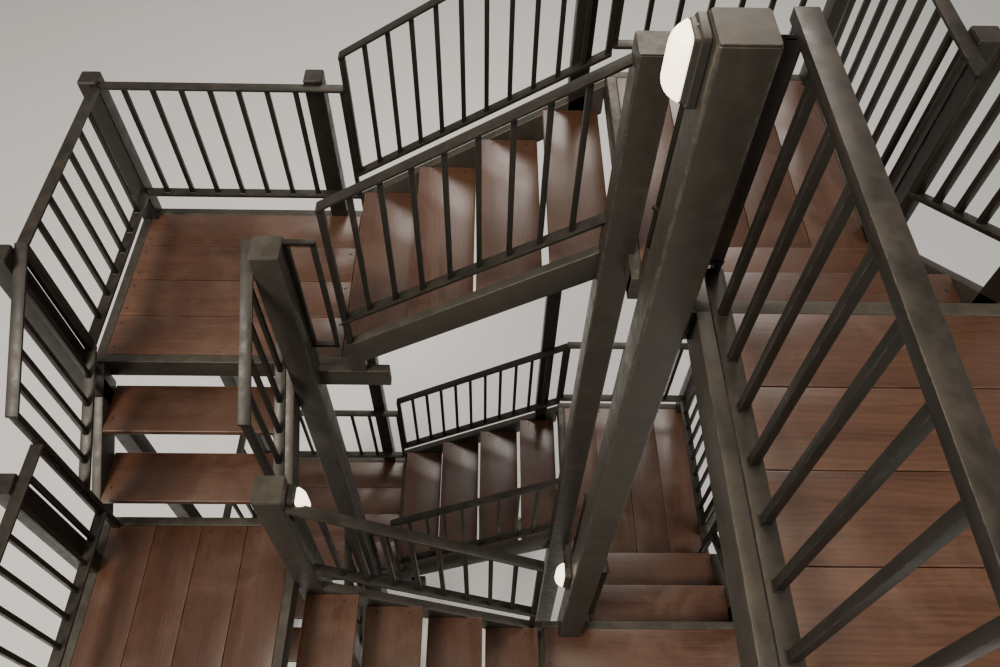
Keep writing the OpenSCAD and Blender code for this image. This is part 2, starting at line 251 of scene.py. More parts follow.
# ---------------------------------------------------------------- materials
class Nodes:
    def __init__(self, name):
        self.mat = bpy.data.materials.new(name)
        self.mat.use_nodes = True
        self.t = self.mat.node_tree
        self.t.nodes.clear()
        self.out = self.t.nodes.new("ShaderNodeOutputMaterial")
        self.bsdf = self.t.nodes.new("ShaderNodeBsdfPrincipled")
        self.t.links.new(self.bsdf.outputs[0], self.out.inputs[0])

    def n(self, kind, **kw):
        node = self.t.nodes.new(kind)
        for k, v in kw.items():
            setattr(node, k, v)
        return node

    def link(self, a, b):
        self.t.links.new(a, b)

    def set(self, sock, v):
        if hasattr(v, "is_linked") or isinstance(v, bpy.types.NodeSocket):
            self.link(v, sock)
        else:
            sock.default_value = v

    def coord(self):
        return self.n("ShaderNodeTexCoord").outputs["Object"]

    def attr(self, name, out="Vector"):
        return self.n("ShaderNodeAttribute", attribute_type='GEOMETRY', attribute_name=name).outputs[out]

    def scale(self, vec, s):
        m = self.n("ShaderNodeMapping")
        m.inputs["Scale"].default_value = s
        self.link(vec, m.inputs["Vector"])
        return m.outputs[0]

    def noise(self, vec, scale, detail=3.0, rough=.55, dist=0.0):
        t = self.n("ShaderNodeTexNoise")
        t.inputs["Scale"].default_value = scale
        t.inputs["Detail"].default_value = detail
        t.inputs["Roughness"].default_value = rough
        t.inputs["Distortion"].default_value = dist
        self.link(vec, t.inputs["Vector"])
        return t.outputs["Fac"]

    def ramp(self, fac, stops, mode='LINEAR'):
        r = self.n("ShaderNodeValToRGB")
        r.color_ramp.interpolation = mode
        e = r.color_ramp.elements
        e[0].position, e[0].color = stops[0][0], stops[0][1]
        e[1].position, e[1].color = stops[1][0], stops[1][1]
        for p, c in stops[2:]:
            x = e.new(p)
            x.color = c
        self.link(fac, r.inputs[0])
        return r.outputs[0]

    def grey(self, fac, lo, hi, a=0.0, b=1.0):
        m = self.n("ShaderNodeMapRange")
        m.clamp = True
        m.inputs["From Min"].default_value = lo
        m.inputs["From Max"].default_value = hi
        m.inputs["To Min"].default_value = a
        m.inputs["To Max"].default_value = b
        self.link(fac, m.inputs["Value"])
        return m.outputs[0]

    def math(self, op, a, b):
        m = self.n("ShaderNodeMath", operation=op)
        self.set(m.inputs[0], a)
        self.set(m.inputs[1], b)
        return m.outputs[0]

    def mix(self, fac, a, b, mode='MIX'):
        m = self.n("ShaderNodeMix", data_type='RGBA', blend_type=mode)
        self.set(m.inputs[0], fac)
        self.set(m.inputs[6], a)
        self.set(m.inputs[7], b)
        return m.outputs[2]

    def up(self):
        g = self.n("ShaderNodeNewGeometry")
        s = self.n("ShaderNodeSeparateXYZ")
        self.link(g.outputs["True Normal"], s.inputs[0])
        return self.grey(s.outputs[2], .55, .95)

    def bump(self, h, strength, dist, prev=None):
        b = self.n("ShaderNodeBump")
        b.inputs["Strength"].default_value = strength
        b.inputs["Distance"].default_value = dist
        self.link(h, b.inputs["Height"])
        if prev is not None:
            self.link(prev, b.inputs["Normal"])
        return b.outputs[0]


def c4(r, g, b):
    return (r, g, b, 1.0)


def steel(name, base, light, dust, edge=(.072, .062, .050), rough=.42, cad=False):
    """Painted steel: brushed-on dark paint, scuffed lighter along its edges, dusty on top, a little rust."""
    m = Nodes(name)
    co = m.coord()
    big = m.noise(co, 2.3, 4, .6)
    mid = m.noise(co, 17, 5, .62)
    fine = m.noise(co, 140, 3, .6)
    col = m.mix(m.grey(big, .35, .68), c4(*base), c4(*[v * 1.35 for v in base]))
    col = m.mix(m.grey(mid, .52, .74, 0, .55), col, c4(*light))
    # rust bloom
    rust = m.math('MULTIPLY', m.grey(m.noise(co, 5.1, 5, .7), .62, .74), m.grey(fine, .42, .62))
    col = m.mix(m.math('MULTIPLY', rust, .55), col, c4(.14, .055, .022))
    # dust on what faces up
    up = m.up()
    dustmask = m.math('MULTIPLY', up, m.grey(m.noise(co, 8.0, 5, .7), .38, .72, .03, .55))
    col = m.mix(dustmask, col, c4(*dust))
    if not cad:
        e = m.attr("edge", "Fac")
        worn = m.math('MULTIPLY', e, m.grey(m.noise(co, 31, 4, .7), .47, .60))
        col = m.mix(m.math('MULTIPLY', worn, .7), col, c4(*edge))
    m.link(col, m.bsdf.inputs["Base Color"])
    r = m.math('ADD', m.grey(mid, .3, .75, rough - .10, rough + .16), m.math('MULTIPLY', dustmask, .22))
    m.link(r, m.bsdf.inputs["Roughness"])
    m.bsdf.inputs["Metallic"].default_value = .25
    m.bsdf.inputs["Specular IOR Level"].default_value = .36
    brush = m.noise(m.scale(co, (60, 60, 9)), 3.0, 4, .6)
    h = m.math('ADD', m.math('MULTIPLY', brush, .5), m.math('MULTIPLY', fine, .35))
    m.link(m.bump(h, .22, .0012), m.bsdf.inputs["Normal"])
    return m.mat


def timber(name, dark, mid_c, light, cad=False):
    """Red-brown varnished planks with long grain, scuffs and dulled patches where people walk."""
    m = Nodes(name)
    co = m.coord()
    g = co if cad else m.attr("grain")
    shade = m.noise(co, .7, 1) if cad else m.attr("shade", "Fac")
    broad = m.noise(m.scale(g, (.9, 9, 9)), 1.0, 4, .6, .6)
    fibre = m.noise(m.scale(g, (5, 150, 150)), 1.0, 4, .65, .2)
    pores = m.noise(m.scale(g, (14, 420, 420)), 1.0, 2, .6)
    w = m.n("ShaderNodeTexWave", wave_type='BANDS', bands_direction='Y', wave_profile='SIN')
    w.inputs["Scale"].default_value = 7.0
    w.inputs["Distortion"].default_value = 9.0
    w.inputs["Detail"].default_value = 3.0
    w.inputs["Detail Scale"].default_value = 1.1
    m.link(m.scale(g, (.45, 2.6, 2.6)), w.inputs["Vector"])
    rings = w.outputs["Fac"]
    f = m.math('ADD', m.math('MULTIPLY', broad, .55), m.math('MULTIPLY', rings, .09))
    f = m.math('ADD', f, m.math('MULTIPLY', fibre, .34))
    col = m.ramp(f, [(.30, c4(*dark)), (.52, c4(*mid_c)), (.82, c4(*light))])
    col = m.mix(m.grey(shade, 0, 1, 0, .55), col, c4(dark[0] * 1.25, dark[1] * 1.35, dark[2] * 1.5))
    col = m.mix(m.grey(pores, .58, .72, 0, .45), col, c4(*[v * .45 for v in dark]))
    # walked-on, greyed patches and small scuffs
    up = m.up()
    walk = m.math('MULTIPLY', up, m.grey(m.noise(co, 2.6, 6, .72, .5), .50, .74))
    col = m.mix(m.math("MULTIPLY", walk, .26), col, c4(.185, .112, .072))
    scuff = m.math('MULTIPLY', up, m.grey(m.noise(m.scale(co, (1.0, 1.5, 1.0)), 34, 6, .78, 1.2), .63, .72))
    col = m.mix(m.math("MULTIPLY", scuff, .36), col, c4(.27, .185, .130))
    spots = m.math('MULTIPLY', up, m.grey(m.noise(co, 7.5, 5, .75), .64, .73))
    col = m.mix(m.math('MULTIPLY', spots, .5), col, c4(.032, .018, .012))
    if not cad:
        e = m.attr("edge", "Fac")
        worn = m.math('MULTIPLY', e, m.grey(m.noise(co, 19, 4, .7), .40, .62))
        col = m.mix(m.math('MULTIPLY', worn, .4), col, c4(.20, .105, .062))
    m.link(col, m.bsdf.inputs["Base Color"])
    r = m.math('ADD', m.grey(broad, .3, .7, .30, .42), m.math('MULTIPLY', walk, .20))
    r = m.math('ADD', r, m.math('MULTIPLY', scuff, .2))
    m.link(r, m.bsdf.inputs["Roughness"])
    m.bsdf.inputs["Coat Weight"].default_value = .08
    m.bsdf.inputs["Coat Roughness"].default_value = .22
    h = m.math('ADD', m.math('MULTIPLY', fibre, .6), m.math('MULTIPLY', pores, -.35))
    h = m.math('ADD', h, m.math('MULTIPLY', scuff, -.3))
    m.link(m.bump(h, .40, .0010), m.bsdf.inputs["Normal"])
    return m.mat


def opal(name):
    """Lit opal cover: warm, with faint cloudiness."""
    m = Nodes(name)
    co = m.coord()
    cloud = m.noise(co, 24, 3, .5)
    col = m.mix(m.grey(cloud, .35, .7), c4(.95, .90, .78), c4(.90, .80, .62))
    m.link(col, m.bsdf.inputs["Base Color"])
    m.link(m.mix(m.grey(cloud, .3, .7), c4(1.0, .86, .62), c4(1.0, .78, .50)), m.bsdf.inputs["Emission Color"])
    m.bsdf.inputs["Emission Strength"].default_value = 3.4
    m.link(m.grey(cloud, .3, .7, .28, .42), m.bsdf.inputs["Roughness"])
    m.link(m.bump(m.noise(co, 160, 2), .15, .0006), m.bsdf.inputs["Normal"])
    return m.mat


def galvanised(name):
    """Zinc-plated fixings, dulled and spotted."""
    m = Nodes(name)
    co = m.coord()
    a = m.noise(co, 90, 4, .7)
    col = m.mix(m.grey(a, .35, .7), c4(.20, .195, .185), c4(.34, .325, .30))
    col = m.mix(m.grey(m.noise(co, 33, 4, .7), .56, .68, 0, .7), col, c4(.13, .065, .035))
    m.link(col, m.bsdf.inputs["Base Color"])
    m.bsdf.inputs["Metallic"].default_value = .75
    m.link(m.grey(a, .3, .7, .38, .58), m.bsdf.inputs["Roughness"])
    m.link(m.bump(a, .3, .0006), m.bsdf.inputs["Normal"])
    return m.mat


FRAME_STEEL = steel("frame_steel_paint", (.031, .027, .021), (.050, .043, .033), (.100, .086, .066))
RAIL_STEEL = steel("rail_steel_paint", (.012, .010, .0075), (.022, .018, .0135), (.058, .048, .037), (.046, .038, .030), rough=.40)
PLATE_STEEL = steel("plate_steel_paint", (.040, .035, .028), (.066, .057, .045), (.150, .130, .105), cad=True)
LAMP_METAL = steel("lamp_metal_paint", (.030, .027, .023), (.050, .045, .038), (.090, .080, .066), rough=.34)
WOOD = timber("timber_varnish", (.038, .017, .0095), (.078, .034, .018), (.122, .058, .031))
OPAL = opal("lamp_opal_lit")
FIXING = galvanised("fixings_zinc")
SCREW = steel("screw_steel_dark", (.020, .015, .011), (.035, .027, .020), (.050, .036, .026), (.060, .047, .036), rough=.46)


# ---------------------------------------------------------------- railings
def baluster(b, x, y, z0, z1, w=BAL):
    b.bar(x - w / 2, x + w / 2, y - w / 2, y + w / 2, z0, z1, .0016, 2, 2)


def weld(b, x, y, z, s, up):
    """Small weld collar round the end of an upright."""
    k, r = s / 2, s / 2 + .003
    h = .0035 if up else -.0035
    lo = [(x - r, y - r, z), (x + r, y - r, z), (x + r, y + r, z), (x - r, y + r, z)]
    hi = [(x - k, y - k, z + h), (x + k, y - k, z + h), (x + k, y + k, z + h), (x - k, y + k, z + h)]
    b.solid(lo, hi, 0, 1, 2)


def panel(b, axis, s0, s1, p, z, ends, top=RAIL_H, foot=.204, pitch=PITCH, thick=RAIL_T, spots=None):
    """Level panel along x (axis 0) or y (axis 1) in the plane p. spots lists its uprights, else they are evenly spaced."""
    w = BAL

    def put(a0, a1, c0, c1, z0, z1, bevel, along):
        if axis == 0:
            b.bar(a0, a1, c0, c1, z0, z1, bevel, 2, 0 if along else 2)
        else:
            b.bar(c0, c1, a0, a1, z0, z1, bevel, 2, 1 if along else 2)
    put(s0, s1, p - RAIL_W / 2, p + RAIL_W / 2, z + top - thick, z + top, .0022, True)
    put(s0, s1, p - RAIL_W / 2, p + RAIL_W / 2, z + foot - FOOT_RAIL, z + foot, .0018, True)
    a, e = s0 + ends[0] * w / 2, s1 - ends[1] * w / 2
    n = max(1, math.ceil((e - a) / pitch - 1e-9))
    for c in spots or [a + (e - a) * i / n for i in range(1 - ends[0], n + ends[1])]:
        put(c - w / 2, c + w / 2, p - w / 2, p + w / 2, z + foot - FOOT_RAIL / 2, z + top - thick / 2, .0016, False)
        if c - w / 2 < s0 + .005 or c + w / 2 > s1 - .005:
            continue
        x, y = (c, p) if axis == 0 else (p, c)
        weld(b, x, y, z + foot, w, True)
        weld(b, x, y, z + top - thick, w, False)


def slope_bar(b, x0, x1, y, w, up, t, bevel=.003):
    b.xz([(x0, zn(x0) + up - t), (x1, zn(x1) + up - t), (x1, zn(x1) + up), (x0, zn(x0) + up)], y - w / 2, y + w / 2, bevel)


def slope_post(b, x0, x1, y, w, z0, z1, bevel=.0016):
    b.xz([(x0, zn(x0) + z0), (x1, zn(x1) + z0), (x1, zn(x1) + z1), (x0, zn(x0) + z1)], y - w / 2, y + w / 2, bevel, 2, 2)


def slope_panel(b, x0, x1, y, up, down, foot, last, pitch):
    w, e = BAL, .028
    c = math.cos(math.atan(SLOPE))
    t, tb = RAIL_T / c, FOOT_RAIL / c
    slope_bar(b, x0, x1, y, RAIL_W, up, t, .0022)
    slope_bar(b, x0, x1, y, RAIL_W, down, tb, .0018)
    end = x1 - e / 2 if last else x1
    n = math.ceil((end - x0 - e / 2) / pitch - 1e-9)
    for i in range(1, n):
        k = x0 + e / 2 + (end - x0 - e / 2) * i / n
        slope_post(b, k - w / 2, k + w / 2, y, w, down - tb / 2, up - t / 2)
    slope_post(b, x0, x0 + e, y, e + .006, foot, up - t / 2, .002)
    if last:
        slope_post(b, x1 - e, x1, y, e + .006, foot, up - t / 2, .002)


def short_panel(b, y0, y1, x, z0, z1, gap, foot0, last):
    w, e = BAL, .028
    m = (z1 - z0) / (y0 - y1)
    c = math.cos(math.atan(m))
    t, tb = RAIL_T / c, FOOT_RAIL / c

    def zt(y):
        return z0 + (y0 - y) * m

    b.yz([(y1, zt(y1) - t), (y0, zt(y0) - t), (y0, zt(y0)), (y1, zt(y1))], x - RAIL_W / 2, x + RAIL_W / 2, .0022)
    b.yz([(y1, zt(y1) - gap - tb), (y0, zt(y0) - gap - tb), (y0, zt(y0) - gap), (y1, zt(y1) - gap)], x - RAIL_W / 2, x + RAIL_W / 2, .0018)
    n = math.ceil((y0 - y1 - e) / (PITCH - .008) - 1e-9)
    for i in range(1, n):
        k = y1 + e / 2 + (y0 - y1 - e) * i / n
        b.yz([(k - w / 2, zt(k) - gap - tb / 2), (k + w / 2, zt(k) - gap - tb / 2), (k + w / 2, zt(k + w / 2) - t / 2), (k - w / 2, zt(k - w / 2) - t / 2)],
             x - w / 2, x + w / 2, .0016, 2, 2)
    b.yz([(y0 - e, foot0), (y0, foot0), (y0, zt(y0) - t / 2), (y0 - e, zt(y0 - e) - t / 2)], x - e / 2 - .003, x + e / 2 + .003, .002, 2, 2)
    if last:
        b.yz([(y1, zt(y1) - gap - tb / 2), (y1 + e, zt(y1) - gap - tb / 2), (y1 + e, zt(y1 + e) - t / 2), (y1, zt(y1) - t / 2)],
             x - e / 2 - .003, x + e / 2 + .003, .002, 2, 2)


# ---------------------------------------------------------------- columns and posts
COLS = [(-COL_X[0], COL_Y[0], 24 * RISER + RAIL_H + .010), (-COL_X[1], -COL_Y[1], 21 * RISER + RAIL_H + .010),
        (COL_X[0], COL_Y[0], 29 * RISER + RAIL_H + .010), (COL_X[1], -COL_Y[1], 32 * RISER + RAIL_H + .010)]


def rail_top(n):
    return n * RISER + RAIL_H + .018


POSTS = [(-CORNER_X, CORNER_Y, rail_top(24)), (-POST_MID_X[0], POST_Y, rail_top(24)), (-POST_X, POST_MID_Y[0], rail_top(24)),
         (-POST_X, -POST_MID_Y[1], rail_top(21)), (-CORNER_X, -CORNER_Y, rail_top(21)), (-POST_MID_X[1], -POST_Y, rail_top(21)),
         (POST_MID_X[1], POST_Y, rail_top(29)), (CORNER_X, CORNER_Y, rail_top(29)), (POST_X, POST_MID_Y[1], rail_top(29)),
         (POST_X, -POST_MID_Y[0], rail_top(32)), (CORNER_X, -CORNER_Y, rail_top(32)), (TOP_POST_X, -POST_Y, TOP_Z - BEAM - .008)]

b = Build()
for x, y, top in COLS:
    b.tube(x, y, COL, PLATE, top - .006, .009)
    b.tube(x, y, COL - .004, top - .006, top, .008)      # cap plate, welded on
    for s in (-1, 1):                                    # weld round the foot
        b.solid([(x - COL / 2 - .008, y + s * COL / 2, PLATE), (x + COL / 2 + .008, y + s * COL / 2, PLATE), (x + COL / 2 + .008, y + s * (COL / 2 + .008), PLATE), (x - COL / 2 - .008, y + s * (COL / 2 + .008), PLATE)][::s],
                [(x - COL / 2 - .001, y + s * COL / 2, PLATE + .008), (x + COL / 2 + .001, y + s * COL / 2, PLATE + .008), (x + COL / 2 + .001, y + s * (COL / 2 + .001), PLATE + .008), (x - COL / 2 - .001, y + s * (COL / 2 + .001), PLATE + .008)][::s], 0)
        b.solid([(x + s * COL / 2, y - COL / 2, PLATE), (x + s * COL / 2, y + COL / 2, PLATE), (x + s * (COL / 2 + .008), y + COL / 2, PLATE), (x + s * (COL / 2 + .008), y - COL / 2, PLATE)],
                [(x + s * COL / 2, y - COL / 2, PLATE + .008), (x + s * COL / 2, y + COL / 2, PLATE + .008), (x + s * (COL / 2 + .001), y + COL / 2, PLATE + .008), (x + s * (COL / 2 + .001), y - COL / 2, PLATE + .008)], 0)
b.finish("well_column_tubes", "frame_steel", FRAME_STEEL, "well_columns")

b = Build()
for x, y, top in POSTS:
    b.tube(x, y, POST, PLATE, top - .005, .007)
    b.tube(x, y, POST - .004, top - .005, top, .006)
b.finish("outer_post_tubes", "frame_steel", RAIL_STEEL, "outer_posts")

# anchors in the base plates
b = Build()
for lst, gap in ((COLS, .190), (POSTS, .145)):
    for x, y, top in lst:
        for sx in (-1, 1):
            for sy in (-1, 1):
                c = (x + sx * gap / 2, y + sy * gap / 2, PLATE)
                b.hexagon(c, 3, .0138, .013)
                ring = [(c[0] + .008 * math.cos(2 * math.pi * i / 14), c[1] + .008 * math.sin(2 * math.pi * i / 14)) for i in range(14)]
                b.ring_prism(ring, PLATE + .010, PLATE + .034, .0012)
b.finish("anchor_bolts", "frame_steel", FIXING)


# ---------------------------------------------------------------- landings
def frame_box(b, x0, x1, y0, y1, z, nx, ny, depth=BEAM):
    """Edge channels round the boards with joists under them."""
    w, d = (x1 - x0 - FLANGE) / nx, (y1 - y0 - FLANGE) / ny
    f = .0035
    b.bar(x0, x1, y0, y0 + FLANGE, z - depth, z, f, 3, 0)
    b.bar(x0, x1, y1 - FLANGE, y1, z - depth, z, f, 3, 0)
    b.bar(x0, x0 + FLANGE, y0 + .001, y1 - .001, z - depth + .0002, z - .0002, f, 3, 1)
    b.bar(x1 - FLANGE, x1, y0 + .001, y1 - .001, z - depth + .0002, z - .0002, f, 3, 1)
    for i in range(1, nx):
        b.bar(x0 + i * w, x0 + i * w + FLANGE, y0 + FLANGE - .002, y1 - FLANGE + .002, z - depth + .0006, z - DECK - .0003, f, 2, 1)
    for j in range(1, ny):
        b.bar(x0 + FLANGE - .002, x1 - FLANGE + .002, y0 + j * d, y0 + j * d + FLANGE, z - depth + .001, z - DECK - .0008, f, 2, 0)


def boards(b, x0, x1, y0, y1, z, axis, n, screws):
    """Planks of a landing, running along axis, with open joints and screws at their ends."""
    x0, x1, y0, y1 = x0 + FLANGE, x1 - FLANGE, y0 + FLANGE, y1 - FLANGE
    gap = .0035
    lo, hi = (y0, y1) if axis == 0 else (x0, x1)
    w = (hi - lo) / n
    for i in range(n):
        s0 = lo + i * w + (gap / 2 if i else .001)
        s1 = lo + (i + 1) * w - (gap / 2 if i < n - 1 else .001)
        drop = rng.uniform(0, .0012)
        if axis == 0:
            b.bar(x0 + .002, x1 - .002, s0, s1, z - DECK + .0005, z - drop, .0022, 2, 0)
            ends = [(x0 + .030, s) for s in (s0 + .045, s1 - .045)] + [(x1 - .030, s) for s in (s0 + .045, s1 - .045)]
        else:
            b.bar(s0, s1, y0 + .002, y1 - .002, z - DECK + .0005, z - drop, .0022, 2, 1)
            ends = [(s, y0 + .030) for s in (s0 + .045, s1 - .045)] + [(s, y1 - .030) for s in (s0 + .045, s1 - .045)]
        for e in ends:
            screws.append((e[0], e[1], z - drop))


def screw_heads(b, pts):
    for x, y, z in pts:
        ring = [(x + .0065 * math.cos(2 * math.pi * i / 10), y + .0065 * math.sin(2 * math.pi * i / 10)) for i in range(10)]
        b.ring_prism(ring, z - .004, z + .0009, .0008)


WIDE = (-HALF_X, -A1, B1, HALF_Y)
NARROW = (A2 - .020, HALF_X, B2, HALF_Y)
TOP = (TOP_X, HALF_X, -TOP_END, -B1 + .012)
GROUPS = {"lower": [("narrow", 0), ("wide", 1), ("narrow", 1), ("wide", 2)],
          "upper": [("narrow", 2), ("wide", 3), ("narrow", 3), ("top", None)]}
for part, lst in GROUPS.items():
    fb, db, sb = Build(), Build(), Build()
    for kind, h in lst:
        pts = []
        if kind == "wide":
            for q in (fb, db, sb):
                q.place(h)
            frame_box(fb, *WIDE, 0, 3, 2)
            boards(db, *WIDE, 0, 0, 4, pts)
        elif kind == "narrow":
            for q in (fb, db, sb):
                q.place(h, 5 * RISER)
            frame_box(fb, *NARROW, 0, 2, 3)
            boards(db, *NARROW, 0, 1, 4, pts)
        else:
            for q in (fb, db, sb):
                q.place()
            frame_box(fb, *TOP, TOP_Z, 2, 3, BEAM + .008)
            boards(db, *TOP, TOP_Z, 0, 5, pts)
            fb.bar(COL_X[1] + COL / 2 - .001, TOP_X + .001, -B1 - .033, -B1 + .012, TOP_Z - BEAM - .008, TOP_Z - .0004, .003, 2, 0)
        screw_heads(sb, pts)
    fb.finish(part + "_landing_beams", "frame_steel", FRAME_STEEL, part + "_landing_frames")
    db.finish(part + "_landing_boards", "timber", WOOD, part + "_landing_decks")
    sb.finish(part + "_board_screws", "frame_steel", SCREW)

# ---------------------------------------------------------------- flights
for h in range(4):
    n = near(h)
    # long flight
    b = Build(h)
    s = Build(h)
    pts = []
    y0, y1 = WELL_Y[n] + FLANGE / 2, EDGE_Y
    for k in range(1, 5):
        x0 = -A1 + (k - 1) * GOING
        x1 = min(-A1 + k * GOING - GAP, A2 - .042)
        b.bar(x0, x1, y0 + .001, y1 - .001, k * RISER - TREAD, k * RISER, .0045, 3, 1)
        for px in (x0 + .07, x0 + .24):
            for py in (y0 + .035, y1 - .035):
                pts.append((px, py, k * RISER))
    b.finish("flight_%d_planks" % (2 * h + 1), "timber", WOOD, "flight_%d_treads" % (2 * h + 1))
    screw_heads(s, pts)
    # cleats under the treads, bolted to the stringers
    for k in range(1, 5):
        x0 = -A1 + (k - 1) * GOING
        for side, yy in ((1, y0), (-1, y1)):
            ya, yb = (yy, yy + .045) if side > 0 else (yy - .045, yy)
            s.bar(x0 + .020, x0 + .130, ya, yb, k * RISER - TREAD - .005, k * RISER - TREAD - .0004, .001, 1, 0)
            yc, yd = (yy, yy + .005) if side > 0 else (yy - .005, yy)
            s.bar(x0 + .020, x0 + .130, yc, yd, k * RISER - TREAD - .036, k * RISER - TREAD - .0006, .001, 1, 0)
            for px in (x0 + .045, x0 + .105):
                s.hexagon((px, yy + side * .005, k * RISER - TREAD - .021), 2 * side, .008, .006)
    s.finish("flight_%d_cleats" % (2 * h + 1), "frame_steel", RAIL_STEEL)

    b = Build(h)
    yi = WELL_Y[n]
    xe = COL_X[n] - COL / 2
    xs = -A1 + .012 if n == 0 else -A1 - .030
    zt = STRING_TOP[n]
    zf = zt - STRING_D
    xf = max(xs + .075, -A1 + (-zf - RISER) / SLOPE)
    b.xz([(xs, 0), (xf, 0), (xf, max(0, zn(xf) + zf)), (xe, zn(xe) + zf), (xe, zn(xe) + zt), (xs, zn(xs) + zt)] if zn(xf) + zf > 1e-4 else
         [(xs, 0), (xf, 0), (xe, zn(xe) + zf), (xe, zn(xe) + zt), (xs, zn(xs) + zt)], yi - FLANGE / 2, yi + FLANGE / 2, .004, 3)
    if n == 0:
        b.bar(-COL_X[0] + COL / 2 - .001, -.290, yi - FLANGE / 2 + .0003, yi + FLANGE / 2 - .0003, -BEAM, 0.0002, .004, 3, 0)
    x0, x1, zt = -A1 - .030, A2 - .020, OUTER_TOP[0]
    zo = zt - STRING_D
    xo = -A1 + (-zo - RISER) / SLOPE
    b.xz([(x0, 0), (xo, 0), (x1, zn(x1) + zo), (x1, zn(x1) + zt), (x0, zn(x0) + zt)], EDGE_Y, HALF_Y, .004, 3)
    b.finish("flight_%d_string_boards" % (2 * h + 1), "frame_steel", FRAME_STEEL, "flight_%d_stringers" % (2 * h + 1))

    b = Build(h)
    slope_panel(b, -A1 + .019, COL_X[n] - COL / 2, yi, HI, LO, STRING_TOP[n] - .004, False, PITCH - .004)
    slope_panel(b, -A1 - .015, A2 - .020, RAIL_Y, HI - .015, LO - .015, LO - .015 - FOOT_RAIL / 2, True, PITCH - .016)
    if h == 0:
        slope_post(b, -A1 - .015, -A1 + .013, EDGE_Y + .017, .034, OUTER_TOP[0] - .003, HI - .015, .002)
    b.finish("flight_%d_rails" % (2 * h + 1), "rail_steel", RAIL_STEEL, "flight_%d_railings" % (2 * h + 1))

    # short flight
    b = Build(h, 5 * RISER)
    s = Build(h, 5 * RISER)
    pts = []
    xa, xb = SHORT_X + FLANGE / 2 - .004, EDGE_X
    for k in (1, 2):
        ya, yb = B2 - k * SHORT + GAP, B2 - (k - 1) * SHORT
        b.bar(xa + .001, xb - .001, ya, yb, k * RISER - TREAD, k * RISER, .0045, 3, 0)
        for px in (xa + .035, xb - .035):
            for py in (yb - .07, yb - .215):
                pts.append((px, py, k * RISER))
            side = 1 if px < 1.2 else -1
            xx = xa if side > 0 else xb
            p0, p1 = (xx, xx + .045) if side > 0 else (xx - .045, xx)
            s.bar(p0, p1, yb - .150, yb - .020, k * RISER - TREAD - .005, k * RISER - TREAD - .0004, .001, 1, 1)
            p0, p1 = (xx, xx + .005) if side > 0 else (xx - .005, xx)
            s.bar(p0, p1, yb - .150, yb - .020, k * RISER - TREAD - .036, k * RISER - TREAD - .0006, .001, 1, 1)
            for py in (yb - .045, yb - .125):
                s.hexagon((xx + side * .005, py, k * RISER - TREAD - .021), 1 * side, .008, .006)
    b.finish("flight_%d_planks" % (2 * h + 2), "timber", WOOD, "flight_%d_treads" % (2 * h + 2))
    screw_heads(s, pts)
    s.finish("flight_%d_cleats" % (2 * h + 2), "frame_steel", RAIL_STEEL)

    b = Build(h, 5 * RISER)
    ya, yb = (-B1 + .012 if h == 3 else -B1), B2
    xi = SHORT_X - RAIL_W / 2
    for p0, p1, zt in ((xi, xi + FLANGE, -.015), (EDGE_X, HALF_X, OUTER_TOP[1])):
        zf = zt - STRING_D
        b.yz([(yb, zs(yb) + zf), (yb, zs(yb) + zt), (ya, zs(ya) + zt), (ya, zs(ya) + zf)], p0, p1, .004, 3)
    b.finish("flight_%d_string_boards" % (2 * h + 2), "frame_steel", FRAME_STEEL, "flight_%d_stringers" % (2 * h + 2))

    b = Build(h, 5 * RISER)
    yt = -COL_Y[0] - COL / 2 if n == 1 else -.410
    short_panel(b, .205, yt, SHORT_X, zs(.205) + .862, zs(yt) + .862, .670, 0, True)
    if n == 0:
        b.bar(COL_X[1] + COL / 2 - .001, SHORT_X - RAIL_W / 2 + .002, yt, yt + .040, zs(yt) + .814, zs(yt) + .838, .0015, 1, 0)
    short_panel(b, .226, -.360, RAIL_X, 1.113, 3 * RISER + RAIL_H + .010, .700, 0, True)
    b.finish("flight_%d_rails" % (2 * h + 2), "rail_steel", RAIL_STEEL, "flight_%d_railings" % (2 * h + 2))

# ---------------------------------------------------------------- landing railings
for h in range(4):
    if h:
        b = Build(h)
        spots = None if near(h) else [-.732 - .1345 * i for i in range(7)] + [-A1 - .015 - BAL / 2]
        panel(b, 0, -CORNER_X + POST / 2, -A1 - .015, RAIL_Y, 0, (0, 1), spots=spots)
        panel(b, 1, .360, CORNER_Y - POST / 2, -RAIL_X, 0, (1, 0), pitch=PITCH + .013)
        if near(h) == 0:
            w, x0, x1, y, t = BAL, -COL_X[0] + COL / 2, -A1 - .020, WELL_Y[0] + .012, RAIL_H + .010
            b.bar(x0, x1, y - w / 2, y + w / 2, t - w, t, .0016, 2, 0)
            b.bar(x0, x1, y - w / 2, y + w / 2, .170, .170 + w, .0016, 2, 0)
            for i in (0, 1):
                b.bar(x0 + i * (x1 - x0 - w), x0 + i * (x1 - x0 - w) + w, y - w / 2, y + w / 2, .170 + w / 2, t - w / 2, .0016, 2, 2)
        b.finish("landing_%d_rails" % (2 * h), "rail_steel", RAIL_STEEL, "landing_%d_railings" % (2 * h))
    b = Build(h, 5 * RISER)
    panel(b, 0, A2 - .020, CORNER_X - POST / 2, RAIL_Y, 0, (1, 0))
    panel(b, 1, .226, CORNER_Y - POST / 2, RAIL_X, 0, (1, 0))
    b.finish("landing_%d_rails" % (2 * h + 1), "rail_steel", RAIL_STEEL, "landing_%d_railings" % (2 * h + 1))
b = Build()
panel(b, 1, -TOP_END, -COL_Y[1] + .042, TOP_X + .025, TOP_Z, (1, 1), RAIL_H + .026, .139, PITCH + .013, .030)
panel(b, 1, -CORNER_Y + POST / 2, -.360, RAIL_X, TOP_Z, (0, 1))
panel(b, 1, -TOP_END, -CORNER_Y - POST / 2, RAIL_X, TOP_Z, (1, 0))
b.finish("top_landing_rails", "rail_steel", RAIL_STEEL, "top_landing_railings")

